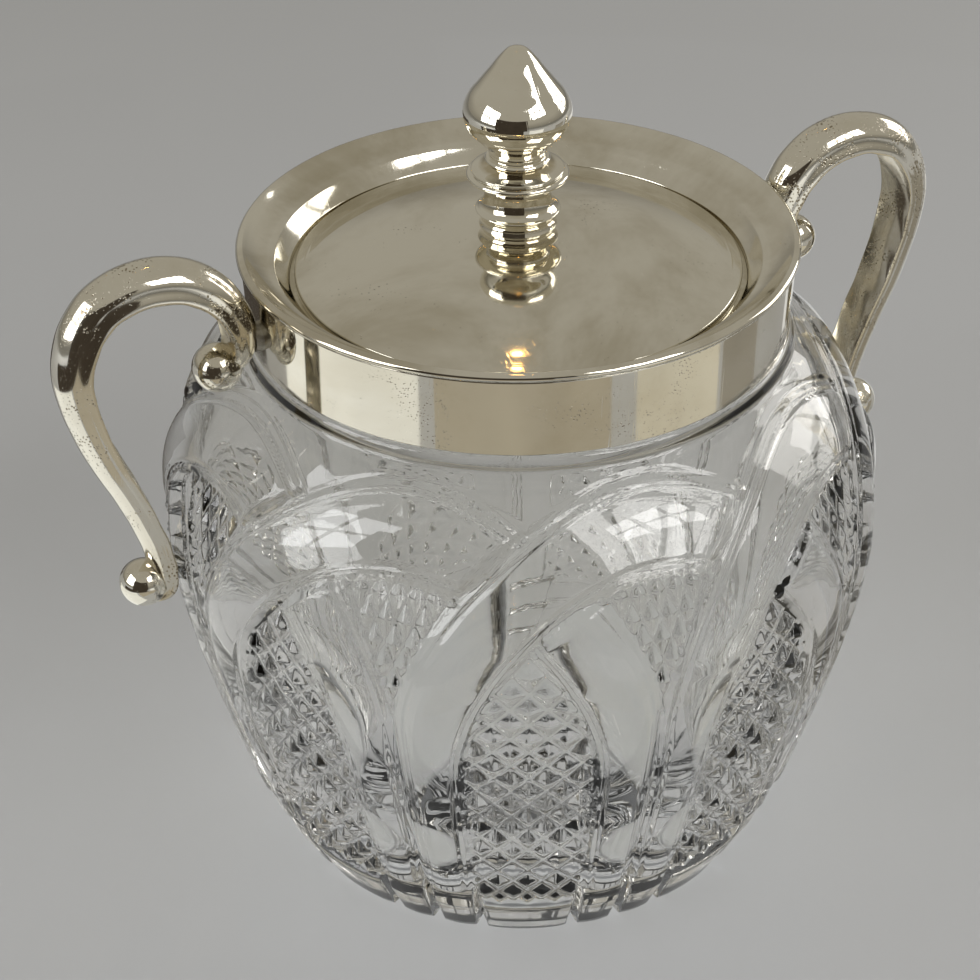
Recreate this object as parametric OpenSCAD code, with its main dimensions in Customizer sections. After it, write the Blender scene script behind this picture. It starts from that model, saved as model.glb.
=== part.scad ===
// Glass sugar bowl with a silver collar, scroll handles and a loose domed lid.
// Origin: centre of the foot, on the table. +Z is up and the handles lie along X.

/* [Bowl] */
// Height of the glass from the table to the collar's lower edge
bowl_h = 91; // [80:1:110]
// Widest radius of the glass
belly_r = 57.2; // [47:0.5:69]
// Height of the widest place
belly_z = 60; // [50:1:66]
// Radius of the foot at the table
foot_r = 41.5; // [34:0.5:50]
// Height of the cut foot
foot_h = 8; // [5:0.5:12]
// Extra radius of the glass at the top of the foot
foot_flare = 3.8; // [2:0.2:5]
// Thickness of the glass wall
glass_wall = 5.6; // [4:0.1:7]
// Thickness of the glass at the bottom
base_t = 9; // [7:0.5:12]
// How far the middle of the underside is hollowed
kick_up = 1.5; // [0.5:0.1:3]
// Width of the ring that the bowl stands on
stand_w = 9; // [6:0.5:12]
// Interlaced arches in the cut pattern, with a diamond panel in each pitch
arches = 9; // [6:1:12]
// Share of each pitch that its panel takes, the rest being the legs of two arches
panel_share = 0.5; // [0.4:0.05:0.6]
// Width of the cuts in the foot, under each panel's sides and between the legs
notch_w = 1.6; // [1:0.1:2.5]
// Depth of the cuts in the foot
notch_d = 1.8; // [0.8:0.1:2.5]
// How far below the top of the foot the cuts end
notch_stop = 1; // [0.5:0.1:2]
// Turn of one panel's middle about the axis, in degrees
pattern_turn = 6.9; // [-60:0.1:60]

/* [Collar] */
// Radius of the rim's outer edge
rim_r = 42; // [35:0.5:51]
// Height of the collar
collar_h = 13.5; // [11:0.5:17]
// Thickness of the silver sheet
sheet = 0.8; // [0.6:0.1:1.2]
// Height of the rolled lip round the rim
lip_h = 1.4; // [1:0.1:2]
// How far the lip stands out from the wall under it
lip_out = 0.6; // [0.3:0.1:1]
// How much narrower the wall is at its lower edge
wall_taper = 0.5; // [0:0.1:1.5]
// Width of the dished rim, from its outer edge to the lid's recess
dish_w = 7.6; // [6:0.1:10]
// Width of the dish's gentle outer slope
slope_w = 5.5; // [4:0.1:5.8]
// Drop of the gentle outer slope
slope_drop = 2.9; // [1.5:0.1:3.5]
// Depth of the steep wall's foot below the rim
wall_drop = 5.4; // [4.5:0.1:5.8]
// Depth of the ledge that carries the lid, below the rim
seat_drop = 6.2; // [6:0.1:8]
// Width of the ledge that carries the lid
ledge_w = 2.8; // [2:0.1:4]
// Length of the sleeve that lines the mouth
throat_h = 10; // [8:0.5:12]
// Gap between the sleeve and the glass
mouth_gap = 0.8; // [0.4:0.1:1.5]
// Thickness of the setting between the collar and the neck
plaster_t = 1.4; // [1:0.1:2.5]
// Height of the glass neck above its shoulder
neck_h = 5.3; // [4:0.1:6]

/* [Lid] */
// Gap round the lid's edge
lid_gap = 0.8; // [0.4:0.1:1.5]
// Thickness of the lid's edge
lid_edge = 1.2; // [1:0.1:2]
// Width of the bevel round the lid
bevel_w = 1.8; // [1:0.1:3]
// Rise of the bevel round the lid
bevel_h = 0.6; // [0.3:0.1:1]
// Rise of the dome above the bevel
dome_h = 6.1; // [4:0.1:8]
// Thickness of the lid's sheet
lid_sheet = 0.9; // [0.7:0.1:1.3]
// Depth of the ring under the lid
bezel_h = 6; // [4:0.5:8]
// Clearance between that ring and the mouth
bezel_gap = 0.5; // [0.3:0.1:1]

/* [Finial] */
// Height of the stem's foot and hollow
stem_h = 7.2; // [6:0.1:9]
// Height of the spread disc and its bead
disc_h = 4.4; // [3.5:0.1:5.5]
// Height of the knob
knob_h = 16.1; // [13:0.1:20]
// Radius of the knob
knob_r = 7.95; // [6.6:0.05:9.6]
// Radius of the spread disc
disc_r = 7.6; // [6.4:0.1:9.2]
// Radius of the stem's foot
stem_r = 6.3; // [5.3:0.1:7.6]
// Radius of the screw that holds the finial
stud_r = 1.5; // [1.2:0.1:2]
// Clearance round the screw where it passes through
stud_gap = 0.15; // [0.1:0.05:0.3]
// Length of the screw inside the knob
stud_grip = 7; // [5:0.5:10]
// Thickness of the washer under the lid
washer_t = 0.8; // [0.5:0.1:1.2]
// Radius of the washer
washer_r = 4.5; // [3.6:0.1:6]
// Height of the nut
nut_h = 2.4; // [2:0.1:3]
// Half the width of the nut over its corners
nut_r = 3.2; // [2.8:0.1:4]

/* [Handles] */
// Size of the scroll, as a multiple of the drawn one
scroll_size = 1; // [0.83:0.01:1.2]
// Width of the strap at the top of the handle
strap_w = 8.6; // [7:0.1:10.5]
// Thickness of the strap at the top of the handle
strap_t = 4.9; // [4:0.1:6]
// Radius of the balls that end the scroll
ball_r = 3.7; // [3.1:0.05:4.5]
// Radius of the solder that joins the handle to the collar
solder_r = 2.2; // [1.5:0.1:3]

/* [Hidden] */
$fn = 96;
silver = [0.78, 0.76, 0.7];

// Collar and mouth
rim_z = bowl_h + collar_h;
wall_top_r = rim_r - lip_out;
wall_low_r = wall_top_r - wall_taper;
wall_top_z = rim_z - lip_h;
recess_r = rim_r - dish_w;
seat_z = rim_z - seat_drop;
throat_r = recess_r - ledge_w;
neck_r = wall_low_r - sheet - plaster_t;
mouth_r = throat_r + sheet + mouth_gap;
neck_z = bowl_h + neck_h;

// Lid and finial
lid_r = recess_r - lid_gap;
dome_r = lid_r - bevel_w;
dome_z = seat_z + lid_edge + bevel_h;
dome_ball_r = (dome_r * dome_r + dome_h * dome_h) / (2 * dome_h);
dome_ball_z = dome_z + dome_h - dome_ball_r;
bezel_r = throat_r - bezel_gap;
finial_z = dome_z + dome_h - 0.3;
disc_z = finial_z + stem_h;
knob_z = disc_z + disc_h;
under_r = dome_ball_r - lid_sheet;
washer_z = dome_ball_z + sqrt(under_r * under_r - washer_r * washer_r) - washer_t;
hole_r = stud_r + stud_gap;

// Handle route from the upper ball round to the lower one. Each row holds how far the place follows the
// belly (0 follows the collar's wall, 1 the belly), its distance outwards from there, its height from the
// rim, and the strap's size there as a share of its size at the top.
route = [
    [0, 5.0, -11.2, 0.50],
    [0, 3.5, -10.7, 0.66],
    [0, 2.6, -8.0, 0.84],
    [0, 3.1, -4.2, 0.92],
    [0, 5.7, 0.6, 0.98],
    [0, 10.2, 4.0, 1],
    [0.2, 13.0, 5.0, 1],
    [0.4, 15.9, 3.1, 1],
    [0.6, 16.6, -1.3, 1],
    [0.7, 16.7, -7.0, 0.98],
    [0.8, 14.5, -13.5, 0.94],
    [0.9, 10.7, -21.5, 0.88],
    [1, 5.9, -29.5, 0.82],
    [1, 3.4, -37.0, 0.77],
    [1, 2.3, -43.0, 0.73],
    [1, 2.6, -46.6, 0.62],
    [1, 4.8, -47.8, 0.38]];
upper_ball = [0, 6.5, -11.6];
lower_ball = [1, 5.2, -45.7];
rings_per_step = 4;
strap_sides = 12;

// How far the solder starts behind the wall's line, and how far it runs into the strap
solder_inset = 1.5;
solder_bite = 0.358;

// A place on the handle, as [distance from the axis, height]
function place(p) = [
    wall_top_r + p[0] * (belly_r - wall_top_r) + p[1] * scroll_size,
    rim_z + p[2] * scroll_size];

// Smooth curve through the points of a list, each span cut into n steps
function curve_at(p, i, t) =
    let (last = len(p) - 1,
        a = p[max(i - 1, 0)],
        b = p[i],
        c = p[min(i + 1, last)],
        d = p[min(i + 2, last)])
    0.5 * (2 * b + (c - a) * t + (2 * a - 5 * b + 4 * c - d) * t * t + (3 * b - a - 3 * c + d) * t * t * t);
function smooth_line(p, n) = [
    for (i = [0 : len(p) - 2]) for (k = [0 : n - 1]) curve_at(p, i, k / n),
    p[len(p) - 1]];

// Curve from a to c that is pulled towards b
function bow(a, b, c, n) = [for (k = [0 : n]) let (t = k / n)
    (1 - t) * (1 - t) * a + 2 * t * (1 - t) * b + t * t * c];

// Outside of the glass from the foot to the shoulder, and its inside
shoulder_pull = [belly_r - 1.2, belly_z + 0.645 * (bowl_h - belly_z)];
foot_top = [foot_r + foot_flare, foot_h];
flank_pull = [belly_r, belly_z - 14];
outside = concat(
    [[foot_r, 0]],
    bow(foot_top, flank_pull, [belly_r, belly_z], 8),
    [for (p = bow([belly_r, belly_z], shoulder_pull, [wall_low_r, bowl_h], 9)) if (p[1] > belly_z) p]);
inner_floor_r = foot_r - glass_wall;
inner_belly_r = belly_r - glass_wall;
inside = concat(
    [[0, base_t]],
    bow([inner_floor_r - 8, base_t], [inner_floor_r + 3, base_t + 1], [inner_floor_r + 5, base_t + 13], 5),
    bow([inner_floor_r + 6, base_t + 18], [inner_belly_r, belly_z - 14], [inner_belly_r, belly_z], 6),
    bow([inner_belly_r - 0.5, belly_z + 5], shoulder_pull - [glass_wall + 1, 1], [mouth_r, bowl_h - 4], 7),
    [[mouth_r, neck_z + 1], [0, neck_z + 1]]);

module glass_body() {
    color([0.8, 0.86, 0.85, 0.6])
        difference() {
            rotate_extrude()
                polygon(concat([[0, 0]], outside, [[neck_r, bowl_h], [neck_r, neck_z], [0, neck_z]]));
            rotate_extrude() polygon(inside);
            translate([0, 0, -1]) cylinder(r = foot_r - stand_w, h = kick_up + 1);
            for (i = [0 : arches - 1]) for (cut = [-panel_share / 2, panel_share / 2, 0.5])
                rotate(pattern_turn + (i + cut) * 360 / arches)
                    translate([foot_r - notch_d, -notch_w / 2, -1])
                        cube([foot_flare + notch_d + 2, notch_w, foot_h - notch_stop + 1]);
        }
}

// Underside of the dish, from the lip in to the ledge
function dish_under() = [
    [wall_top_r - sheet, wall_top_z],
    [rim_r - slope_w, rim_z - slope_drop - sheet],
    [recess_r + sheet, rim_z - wall_drop - sheet],
    [recess_r + sheet, seat_z - sheet]];

module neck_plaster() {
    color("whitesmoke")
        rotate_extrude()
            polygon(concat(
                [[neck_r, bowl_h], [wall_low_r - sheet, bowl_h]],
                dish_under(),
                [[mouth_r, seat_z - sheet], [mouth_r, neck_z], [neck_r, neck_z]]));
}

module collar_band() {
    color(silver)
        rotate_extrude()
            polygon([
                [wall_low_r - sheet, bowl_h], [wall_low_r, bowl_h],
                [wall_top_r, wall_top_z], [wall_top_r - sheet, wall_top_z]]);
}

module collar_dish() {
    slope_end = [rim_r - slope_w, rim_z - slope_drop];
    top = bow([rim_r - 1, rim_z], [rim_r - slope_w + 2, rim_z - slope_drop + 0.5], slope_end, 6);
    color(silver)
        rotate_extrude()
            polygon(concat(
                [[wall_top_r, wall_top_z], [rim_r - 0.2, wall_top_z + 0.3], [rim_r, wall_top_z + 0.7],
                    [rim_r - 0.2, rim_z - 0.25]],
                top,
                [[recess_r + 0.7, rim_z - wall_drop + 0.9], [recess_r, rim_z - wall_drop],
                    [recess_r, seat_z], [throat_r + sheet, seat_z], [throat_r + sheet, seat_z - sheet]],
                [for (i = [3 : -1 : 0]) dish_under()[i]]));
}

module collar_throat() {
    color(silver)
        difference() {
            translate([0, 0, seat_z - throat_h]) cylinder(r = throat_r + sheet, h = throat_h);
            translate([0, 0, seat_z - throat_h - 1]) cylinder(r = throat_r, h = throat_h + 2);
        }
}

// The strap: half-round outside, flat inside, swept along the route
module strap() {
    path = smooth_line([for (p = route) concat(place(p), p[3])], rings_per_step);
    last = len(path) - 1;
    ring = [for (i = [0 : last])
        let (
            a = path[max(i - 1, 0)],
            b = path[min(i + 1, last)],
            run = [b[0] - a[0], b[1] - a[1]] / norm([b[0] - a[0], b[1] - a[1]]),
            out = [-run[1], run[0]],
            half_w = strap_w * path[i][2] / 2,
            half_t = strap_t * path[i][2] / 2)
        [for (k = [0 : strap_sides - 1])
            let (
                turn = 360 * (k + 0.5) / strap_sides,
                across = half_w * cos(turn),
                lift = half_t * (sin(turn) > 0 ? 2 * sin(turn) - 0.9 : max(1.2 * sin(turn), -0.1) - 0.9))
            [path[i][0] + out[0] * lift, across, path[i][1] + out[1] * lift]]];
    points = [for (r = ring) for (p = r) p];
    n = strap_sides;
    first_mid = len(points);
    sides = [for (i = [0 : last - 1]) for (k = [0 : n - 1])
        let (a = i * n + k, b = i * n + (k + 1) % n)
        each [[a, b, b + n], [a, b + n, a + n]]];
    start = [for (k = [0 : n - 1]) [first_mid, (k + 1) % n, k]];
    end = [for (k = [0 : n - 1]) [first_mid + 1, last * n + k, last * n + (k + 1) % n]];
    mids = [for (i = [0, last]) (ring[i][2] + ring[i][3] + ring[i][8] + ring[i][9]) / 4];
    polyhedron(concat(points, mids), concat(sides, start, end), convexity = 4);
}

module ball(p) {
    at = place(p);
    translate([at[0], 0, at[1]]) sphere(r = ball_r);
}

module solder() {
    joint_z = rim_z + route[2][2] * scroll_size;
    strap_face = route[2][1] * scroll_size - strap_t * route[2][3] / 2;
    difference() {
        translate([wall_top_r - solder_inset, 0, joint_z])
            rotate([0, 90, 0])
                cylinder(r = solder_r, h = solder_inset + strap_face + solder_bite);
        rotate_extrude($fn = 720)
            polygon([[0, bowl_h], [wall_low_r, bowl_h], [wall_top_r, wall_top_z], [0, wall_top_z]]);
    }
}

module handle_left() {
    color(silver) mirror([1, 0, 0]) strap();
}

module handle_left_upper_ball() {
    color(silver) mirror([1, 0, 0]) ball(upper_ball);
}

module handle_left_lower_ball() {
    color(silver) mirror([1, 0, 0]) ball(lower_ball);
}

module handle_left_solder() {
    color("darkgray") mirror([1, 0, 0]) solder();
}

module handle_right() {
    color(silver) strap();
}

module handle_right_upper_ball() {
    color(silver) ball(upper_ball);
}

module handle_right_lower_ball() {
    color(silver) ball(lower_ball);
}

module handle_right_solder() {
    color("darkgray") solder();
}

module stud_hole() {
    translate([0, 0, seat_z]) cylinder(r = hole_r, h = knob_z - seat_z);
}

module lid_plate() {
    color(silver)
        difference() {
            union() {
                intersection() {
                    translate([0, 0, dome_ball_z]) sphere(r = dome_ball_r);
                    translate([0, 0, seat_z]) cylinder(r = dome_r, h = dome_h + 10);
                }
                rotate_extrude()
                    polygon([
                        [0, seat_z], [lid_r, seat_z], [lid_r, seat_z + lid_edge - 0.3],
                        [lid_r - 0.3, seat_z + lid_edge], [dome_r, dome_z], [0, dome_z]]);
            }
            intersection() {
                translate([0, 0, dome_ball_z]) sphere(r = under_r);
                translate([0, 0, seat_z - 1]) cylinder(r = bezel_r - lid_sheet, h = dome_h + 10);
            }
            stud_hole();
        }
}

module lid_bezel() {
    color(silver)
        translate([0, 0, seat_z - bezel_h])
            difference() {
                cylinder(r = bezel_r, h = bezel_h);
                translate([0, 0, -1]) cylinder(r = bezel_r - lid_sheet, h = bezel_h + 2);
            }
}

module finial_stem() {
    color(silver)
        difference() {
            rotate_extrude()
                translate([0, finial_z])
                    polygon(concat(
                        [[0, -1], [stem_r - 0.5, -1]],
                        smooth_line([
                            [stem_r - 0.5, 0.2], [stem_r - 0.75, 0.9], [stem_r - 0.65, 1.7],
                            [stem_r - 0.15, 2.35], [stem_r, 2.6], [stem_r - 0.4, 2.9],
                            [stem_r - 1.0, 3.6], [stem_r - 1.3, 4.6], [stem_r - 1.4, 5.8],
                            [stem_r - 1.3, 6.7], [stem_r - 0.8, stem_h]], 3),
                        [[0, stem_h]]));
            translate([0, 0, dome_ball_z]) sphere(r = dome_ball_r);
            stud_hole();
        }
}

module finial_disc() {
    color(silver)
        difference() {
            rotate_extrude()
                translate([0, disc_z])
                    polygon(concat(
                        [[0, 0], [stem_r - 0.8, 0]],
                        smooth_line([
                            [disc_r - 1.2, 0.15],
                            [disc_r - 0.3, 0.45], [disc_r, 0.85], [disc_r - 0.2, 1.25],
                            [disc_r - 0.85, 1.45], [disc_r - 0.7, 1.7], [disc_r - 0.9, 1.95],
                            [disc_r - 2.2, 2.35], [disc_r - 3.2, 3.0]], 3),
                        smooth_line([
                            [disc_r - 3.0, 3.05], [disc_r - 2.75, 3.4], [disc_r - 3.0, 3.75]], 3),
                        [[disc_r - 3.4, 3.8], [disc_r - 3.35, disc_h], [0, disc_h]]));
            stud_hole();
        }
}

module finial_knob() {
    color(silver)
        difference() {
            rotate_extrude()
                translate([0, knob_z])
                    polygon(concat(
                        [[0, 0], [disc_r - 3.35, 0]],
                        smooth_line([
                            [disc_r - 3.2, 0.6], [knob_r - 2.6, 1.8], [knob_r - 0.9, 3.6],
                            [knob_r - 0.1, 5.4], [knob_r - 0.1, 7.1], [knob_r - 0.9, 8.9],
                            [knob_r - 2.3, 10.7], [knob_r - 3.9, knob_h - 3.4],
                            [knob_r - 5.2, knob_h - 1.7], [knob_r - 6.6, knob_h - 0.3],
                            [0, knob_h]], 5)));
            translate([0, 0, knob_z - 1]) cylinder(r = stud_r, h = stud_grip + 1);
        }
}

module finial_stud() {
    low = washer_z - nut_h - 1;
    color("tan") translate([0, 0, low]) cylinder(r = stud_r, h = knob_z + stud_grip - low);
}

module lid_washer() {
    color("darkkhaki")
        translate([0, 0, washer_z])
            difference() {
                cylinder(r = washer_r, h = washer_t);
                translate([0, 0, -1]) cylinder(r = hole_r, h = washer_t + 2);
            }
}

module lid_nut() {
    color("darkkhaki")
        translate([0, 0, washer_z - nut_h])
            difference() {
                cylinder(r = nut_r, h = nut_h, $fn = 6);
                translate([0, 0, -1]) cylinder(r = stud_r, h = nut_h + 2);
            }
}

glass_body();
neck_plaster();
collar_band();
collar_dish();
collar_throat();
handle_left();
handle_left_upper_ball();
handle_left_lower_ball();
handle_left_solder();
handle_right();
handle_right_upper_ball();
handle_right_lower_ball();
handle_right_solder();
lid_plate();
lid_bezel();
finial_stem();
finial_disc();
finial_knob();
finial_stud();
lid_washer();
lid_nut();
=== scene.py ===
import math

import bpy
import numpy as np
from mathutils import Matrix, Vector


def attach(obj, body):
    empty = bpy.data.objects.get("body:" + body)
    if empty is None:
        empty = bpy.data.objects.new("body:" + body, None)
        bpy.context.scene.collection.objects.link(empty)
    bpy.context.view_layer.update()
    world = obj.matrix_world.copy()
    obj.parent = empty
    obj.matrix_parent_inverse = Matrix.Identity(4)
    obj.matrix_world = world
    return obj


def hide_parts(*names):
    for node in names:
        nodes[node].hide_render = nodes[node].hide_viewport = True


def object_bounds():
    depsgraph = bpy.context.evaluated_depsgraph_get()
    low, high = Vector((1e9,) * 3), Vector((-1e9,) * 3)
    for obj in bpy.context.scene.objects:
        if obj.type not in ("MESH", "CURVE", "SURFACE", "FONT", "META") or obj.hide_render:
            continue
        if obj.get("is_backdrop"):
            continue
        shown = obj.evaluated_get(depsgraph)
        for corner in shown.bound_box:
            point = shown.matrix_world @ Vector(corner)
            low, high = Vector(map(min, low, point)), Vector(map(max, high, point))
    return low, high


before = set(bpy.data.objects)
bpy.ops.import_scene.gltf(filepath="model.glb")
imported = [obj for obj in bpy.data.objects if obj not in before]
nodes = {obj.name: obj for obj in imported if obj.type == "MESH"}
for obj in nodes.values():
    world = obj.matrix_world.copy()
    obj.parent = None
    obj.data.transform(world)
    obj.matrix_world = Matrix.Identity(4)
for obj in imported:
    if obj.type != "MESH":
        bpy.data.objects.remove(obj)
cadLow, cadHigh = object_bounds()
scene = bpy.context.scene
mm = 0.001
print("frame loaded:", len(nodes), "parts")


# small shape tools, in millimetres until the mesh is made

def bow(a, b, c, steps):  # from a to c, pulled towards b
    t = np.linspace(0, 1, steps + 1)[:, None]
    a, b, c = (np.array(p, float) for p in (a, b, c))
    return (1 - t) ** 2 * a + 2 * t * (1 - t) * b + t ** 2 * c


def smoothLine(points, steps):  # a curve through every point
    p = np.array(points, float)
    p = np.vstack([p[:1], p, p[-1:]])
    t = (np.arange(steps) / steps)[:, None]
    spans = []
    for a, b, c, d in zip(p, p[1:], p[2:], p[3:]):
        spans.append(0.5 * (2 * b + (c - a) * t + (2 * a - 5 * b + 4 * c - d) * t ** 2
                            + (3 * b - a - 3 * c + d) * t ** 3))
    return np.vstack(spans + [p[-1:]])


def evenly(points, gap):  # the same line with points about one gap apart
    p = np.array(points, float)
    run = np.concatenate([[0], np.cumsum(np.linalg.norm(np.diff(p, axis=0), axis=1))])
    at = np.linspace(0, run[-1], max(2, int(round(run[-1] / gap))) + 1)
    return np.column_stack([np.interp(at, run, p[:, k]) for k in range(p.shape[1])])


def softCorners(points, radius, steps=4, sharp=18):  # rounds every real corner of a closed outline
    p = np.array(points, float)
    out = []
    for i, here in enumerate(p):
        back, on = p[i - 1] - here, p[(i + 1) % len(p)] - here
        backLen, onLen = np.linalg.norm(back), np.linalg.norm(on)
        bend = 180 - math.degrees(math.acos(np.clip(back @ on / (backLen * onLen), -1, 1)))
        if bend < sharp or here[0] < 1e-6:
            out.append(here[None])
            continue
        reach = min(radius, backLen * 0.45, onLen * 0.45)
        out.append(bow(here + back / backLen * reach, here, here + on / onLen * reach, steps))
    return np.vstack(out)


def hollowness(p, reach):  # 1 deep in a corner of a closed outline, 0 on its open faces
    on = np.roll(p, -1, axis=0) - p
    back = np.roll(on, 1, axis=0)
    turn = np.arctan2(back[:, 0] * on[:, 1] - back[:, 1] * on[:, 0], (back * on).sum(1))
    if turn.sum() < 0:
        turn = -turn
    lengths = np.linalg.norm(on, axis=1)
    run = np.concatenate([[0], np.cumsum(lengths)[:-1]])
    apart = np.abs(run[:, None] - run[None])
    apart = np.minimum(apart, lengths.sum() - apart)
    return np.clip((-turn[None] * np.exp(-(apart / reach) ** 2)).sum(1), 0, 1)


def makeMesh(name, points, faces, extras=None):
    mesh = bpy.data.meshes.new(name)
    mesh.from_pydata((np.asarray(points) * mm).tolist(), [], faces)
    mesh.validate()
    mesh.polygons.foreach_set("use_smooth", [True] * len(mesh.polygons))
    for label, values in (extras or {}).items():
        layer = mesh.attributes.new(label, "FLOAT", "POINT")
        layer.data.foreach_set("value", np.asarray(values, np.float32))
    mesh.update()
    piece = bpy.data.objects.new(name, mesh)
    scene.collection.objects.link(piece)
    return piece


def ringFaces(rows, columns, closed):  # quads between rows of one grid, first row to last
    faces = []
    for i in range(rows if closed else rows - 1):
        a, b = i * columns, ((i + 1) % rows) * columns
        faces += [(a + k, a + (k + 1) % columns, b + (k + 1) % columns, b + k) for k in range(columns)]
    return faces


def turned(name, outline, columns=288, corner=0.12, wobble=0.0, seed=1):  # a closed outline spun about Z
    p = softCorners(outline, corner)
    hollow = hollowness(p, 0.9)
    onAxis = p[:, 0] < 1e-6
    if onAxis.any():  # start just past the axis, so that the rows run from pole to pole
        first = int(np.argmax(onAxis & ~np.roll(onAxis, -1)))
        p, hollow = np.roll(p, -first, axis=0), np.roll(hollow, -first)
        low, high = p[0], p[-1] if p[-1][0] < 1e-6 else p[0]
        keep = p[:, 0] > 1e-6
        p, hollow = p[keep], hollow[keep]
    angle = np.arange(columns) / columns * 2 * math.pi
    luck = np.random.default_rng(seed)
    dents = np.zeros((len(p), columns))
    for k in (2, 3, 5, 7, 11):
        dents += np.sin(k * angle + luck.uniform(0, 6.3) + p[:, 1:2] * luck.uniform(0.05, 0.2)) / k
    r = p[:, :1] + wobble * dents
    z = np.repeat(p[:, 1:], columns, 1)
    points = np.stack([r * np.cos(angle), r * np.sin(angle), z], 2).reshape(-1, 3)
    hollowAll = np.repeat(hollow, columns)
    faces = ringFaces(len(p), columns, not onAxis.any())
    if onAxis.any():
        last = (len(p) - 1) * columns
        faces += [(len(points), (k + 1) % columns, k) for k in range(columns)]
        faces += [(len(points) + 1, last + k, last + (k + 1) % columns) for k in range(columns)]
        points = np.vstack([points, [[0, 0, low[1]], [0, 0, high[1]]]])
        hollowAll = np.append(hollowAll, [0, 0])
    area = (np.roll(p[:, 0], -1) * p[:, 1] - p[:, 0] * np.roll(p[:, 1], -1)).sum()
    if area > 0:
        faces = [f[::-1] for f in faces]
    piece = makeMesh(name, points, faces, {"hollow": hollowAll})
    even = piece.modifiers.new("even shading", "WEIGHTED_NORMAL")
    even.weight = 70
    return piece


# node tools

def socketIn(group, label, kind="NodeSocketFloat", value=None):
    socket = group.interface.new_socket(name=label, in_out="INPUT", socket_type=kind)
    if value is not None:
        socket.default_value = value


def socketOut(group, label, kind="NodeSocketFloat"):
    group.interface.new_socket(name=label, in_out="OUTPUT", socket_type=kind)


def maths(tree, kind, a, b=None, c=None, clamp=False):
    node = tree.nodes.new("ShaderNodeMath")
    node.operation = kind
    node.use_clamp = clamp
    for i, value in enumerate((a, b, c)):
        if value is None:
            continue
        if isinstance(value, (int, float)):
            node.inputs[i].default_value = value
        else:
            tree.links.new(value, node.inputs[i])
    return node.outputs[0]


def ramp(tree, value, low, high, toLow=0.0, toHigh=1.0):  # a smooth step between two values
    node = tree.nodes.new("ShaderNodeMapRange")
    node.interpolation_type = "SMOOTHSTEP"
    for label, setting in (("From Min", low), ("From Max", high), ("To Min", toLow), ("To Max", toHigh)):
        if isinstance(setting, (int, float)):
            node.inputs[label].default_value = setting
        else:
            tree.links.new(setting, node.inputs[label])
    tree.links.new(value, node.inputs["Value"])
    return node.outputs["Result"]


def noise(tree, scale, detail=4.0, rough=0.55, stretch=(1, 1, 1), turn=(0, 0, 0), twist=0.0):
    place = tree.nodes.new("ShaderNodeTexCoord")
    mapping = tree.nodes.new("ShaderNodeMapping")
    mapping.inputs["Scale"].default_value = stretch
    mapping.inputs["Rotation"].default_value = [math.radians(v) for v in turn]
    tree.links.new(place.outputs["Object"], mapping.inputs["Vector"])
    node = tree.nodes.new("ShaderNodeTexNoise")
    node.inputs["Detail"].default_value = detail
    node.inputs["Roughness"].default_value = rough
    node.inputs["Distortion"].default_value = twist
    tree.links.new(mapping.outputs["Vector"], node.inputs["Vector"])
    if isinstance(scale, (int, float)):
        node.inputs["Scale"].default_value = scale
    else:
        tree.links.new(scale, node.inputs["Scale"])
    return node.outputs["Fac"]


def mixColour(tree, mask, a, b):
    node = tree.nodes.new("ShaderNodeMix")
    node.data_type = "RGBA"
    tree.links.new(mask, node.inputs["Factor"])
    for socket, value in ((node.inputs["A"], a), (node.inputs["B"], b)):
        if isinstance(value, tuple):
            socket.default_value = (*value, 1)
        else:
            tree.links.new(value, socket)
    return node.outputs["Result"]


def newGroup(name):
    group = bpy.data.node_groups.new(name, "ShaderNodeTree")
    return group, group.nodes.new("NodeGroupInput"), group.nodes.new("NodeGroupOutput")


def makeToning():  # warm tone that gathers in hollows and in soft clouds
    group, given, out = newGroup("warm toning")
    socketIn(group, "Scale", value=40)
    socketIn(group, "Spread", value=0.4)
    socketIn(group, "In Hollows", value=0.8)
    socketOut(group, "Mask")
    clouds = ramp(group, noise(group, given.outputs["Scale"], 5, 0.6, twist=0.4), 0.38, 0.68)
    dirt = group.nodes.new("ShaderNodeAttribute")
    dirt.attribute_name = "hollow"
    fine = ramp(group, noise(group, 900, 3), 0.3, 0.7, 0.7, 1.15)
    lodged = maths(group, "MULTIPLY", dirt.outputs["Fac"], given.outputs["In Hollows"])
    inHollows = maths(group, "MULTIPLY", lodged, fine)
    spread = maths(group, "MULTIPLY", clouds, given.outputs["Spread"])
    group.links.new(maths(group, "ADD", spread, inHollows, clamp=True), out.inputs["Mask"])
    return group


def makeSpecks():  # small dark spots, thick in some places and absent in others
    group, given, out = newGroup("dark specks")
    socketIn(group, "Scale", value=1400)
    socketIn(group, "Amount", value=0.3)
    socketIn(group, "Everywhere", value=0.0)
    socketOut(group, "Mask")
    place = group.nodes.new("ShaderNodeTexCoord")
    cells = group.nodes.new("ShaderNodeTexVoronoi")
    group.links.new(place.outputs["Object"], cells.inputs["Vector"])
    group.links.new(given.outputs["Scale"], cells.inputs["Scale"])
    patches = ramp(group, noise(group, 120, 4, 0.65), 0.42, 0.72)
    scattered = maths(group, "MULTIPLY", given.outputs["Everywhere"], noise(group, 700, 3, 0.7))
    where = maths(group, "ADD", patches, scattered)
    size = maths(group, "MULTIPLY", maths(group, "MULTIPLY", where, given.outputs["Amount"]), 0.6)
    spot = maths(group, "DIVIDE", cells.outputs["Distance"], maths(group, "ADD", size, 0.001))
    group.links.new(ramp(group, spot, 1.0, 0.6), out.inputs["Mask"])
    return group


polishDirections = ((12, 30, 20), (70, -20, 65), (-35, 50, 120))


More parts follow.
